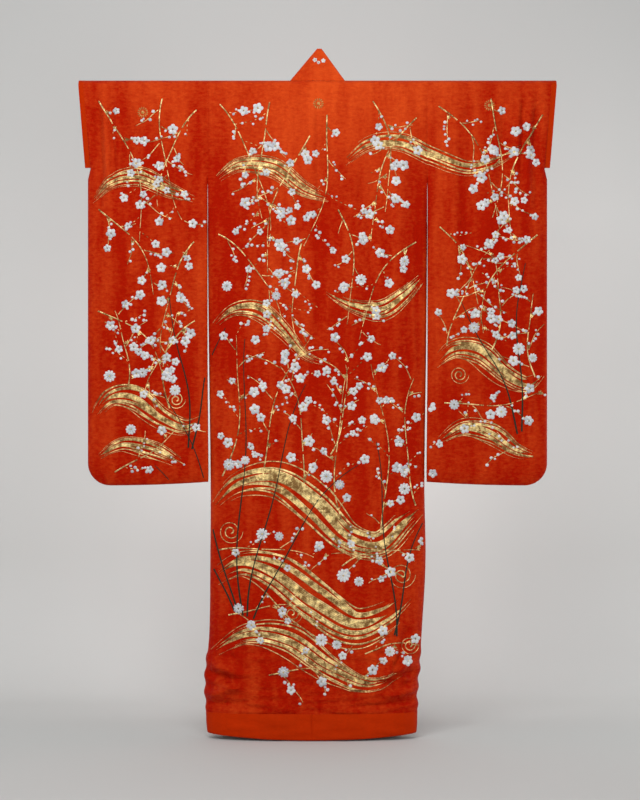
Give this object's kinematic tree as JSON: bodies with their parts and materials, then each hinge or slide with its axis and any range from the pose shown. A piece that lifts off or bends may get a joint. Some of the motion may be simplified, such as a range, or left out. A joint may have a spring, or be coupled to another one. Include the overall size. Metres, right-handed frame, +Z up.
{
  "type": "furisode kimono on a display rod",
  "caption": "Full-length kimono with long hanging sleeves, a folded collar band and a padded hem, hung flat on a plain round display rod.",
  "frame": {"origin": "middle of the display rod's axis", "axes": "+X along the rod, +Z up, the garment's back faces -Y; seen from behind, the wearer's left side is at -X"},
  "size_m": [1.302, 0.111, 1.8801],
  "materials": {
    "silk": "fine crinkled silk, soft sheen",
    "lining_silk": "plain matt silk",
    "rod": "dark lacquer"
  },
  "bodies": {
    "root": {"back_left": "silk", "back_right": "silk", "front_left": "silk", "front_right": "silk", "overlap_left": "silk", "overlap_right": "silk", "sleeve_left_back": "silk", "sleeve_left_front": "silk", "sleeve_right_back": "silk", "sleeve_right_front": "silk", "collar": "silk", "hem_left": "lining_silk", "hem_right": "lining_silk", "cuff_left": "lining_silk", "cuff_right": "lining_silk", "rod": "rod"}
  },
  "joints": []
}
